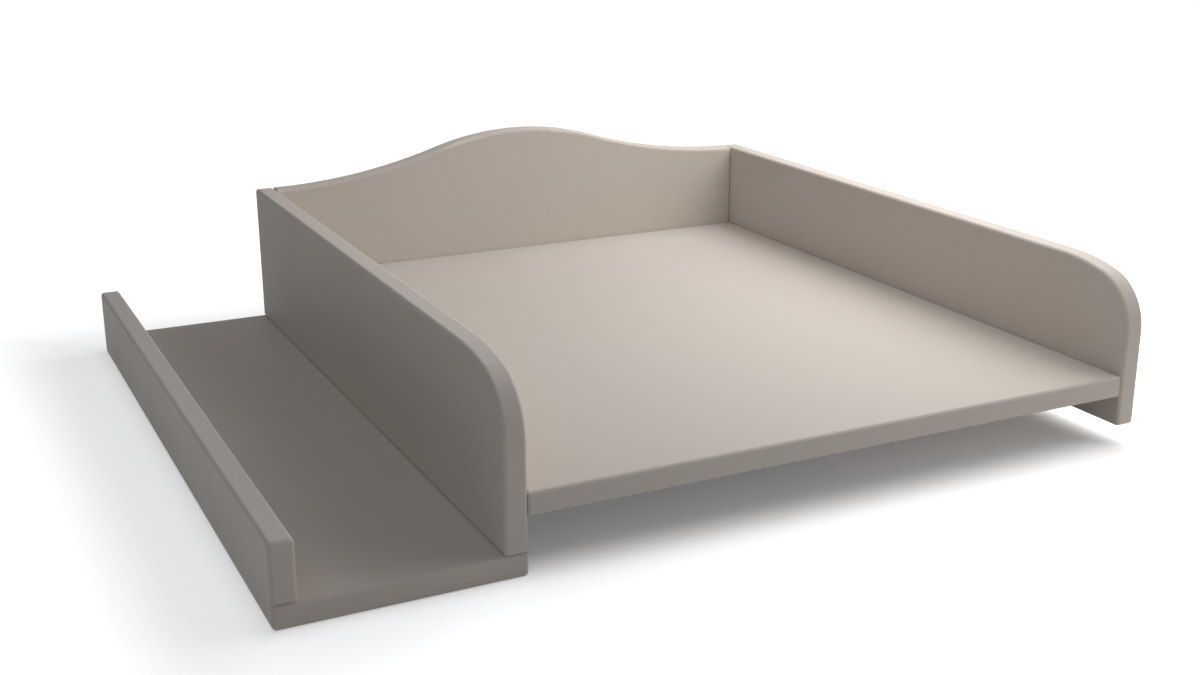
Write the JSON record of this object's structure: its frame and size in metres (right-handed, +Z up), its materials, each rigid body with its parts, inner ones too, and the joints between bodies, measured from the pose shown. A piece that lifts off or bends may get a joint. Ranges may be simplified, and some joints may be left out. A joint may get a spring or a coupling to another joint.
{
  "type": "changing top",
  "caption": "Changing top that rests on a chest of drawers: flat base between round-nosed side panels, wavy back panel, and a low tray with a rail along the left side.",
  "frame": {"origin": "centre of the base board's underside, which rests on the furniture", "axes": "+X to the right seen from the front, +Y to the back panel, +Z up"},
  "size_m": [0.8995, 0.792, 0.237],
  "materials": {
    "lacquered_mdf": "satin warm grey-beige lacquer on fibreboard",
    "zinc_cam": "bare die-cast zinc",
    "plated_steel": "bright zinc plated",
    "blackened_steel": "dark zinc plated",
    "beech": "bare beech"
  },
  "bodies": {
    "top": {"base_board": "lacquered_mdf", "back_panel": "lacquered_mdf", "left_side_panel": "lacquered_mdf", "right_side_panel": "lacquered_mdf", "tray_board": "lacquered_mdf", "tray_rail": "lacquered_mdf", "base_left_dowels": "beech", "base_right_dowels": "beech", "base_back_dowels": "beech", "back_left_dowel": "beech", "back_right_dowel": "beech", "left_panel_cam_bolts": "plated_steel", "right_panel_cam_bolts": "plated_steel", "tray_panel_screws": "blackened_steel", "tray_rail_screws": "blackened_steel"},
    "base_left_front_cam": {"base_left_front_cam": "zinc_cam"},
    "base_left_rear_cam": {"base_left_rear_cam": "zinc_cam"},
    "base_right_front_cam": {"base_right_front_cam": "zinc_cam"},
    "base_right_rear_cam": {"base_right_rear_cam": "zinc_cam"},
    "back_left_cam": {"back_left_cam": "zinc_cam"},
    "back_right_cam": {"back_right_cam": "zinc_cam"}
  },
  "joints": [
    {"name": "base_left_front_cam_turn", "type": "hinge", "parent": "top", "child": "base_left_front_cam", "pos_m": [-0.295, -0.325, 0.00775], "axis": [0, 0, -1], "range_deg": [0, 180]},
    {"name": "base_left_rear_cam_turn", "type": "hinge", "parent": "top", "child": "base_left_rear_cam", "pos_m": [-0.295, 0.325, 0.00775], "axis": [0, 0, -1], "range_deg": [0, 180]},
    {"name": "base_right_front_cam_turn", "type": "hinge", "parent": "top", "child": "base_right_front_cam", "pos_m": [0.295, -0.325, 0.00775], "axis": [0, 0, -1], "range_deg": [0, 180]},
    {"name": "base_right_rear_cam_turn", "type": "hinge", "parent": "top", "child": "base_right_rear_cam", "pos_m": [0.295, 0.325, 0.00775], "axis": [0, 0, -1], "range_deg": [0, 180]},
    {"name": "back_left_cam_turn", "type": "hinge", "parent": "top", "child": "back_left_cam", "pos_m": [-0.295, 0.39925, 0.076], "axis": [0, 1, 0], "range_deg": [0, 180]},
    {"name": "back_right_cam_turn", "type": "hinge", "parent": "top", "child": "back_right_cam", "pos_m": [0.295, 0.39925, 0.076], "axis": [0, 1, 0], "range_deg": [0, 180]}
  ]
}
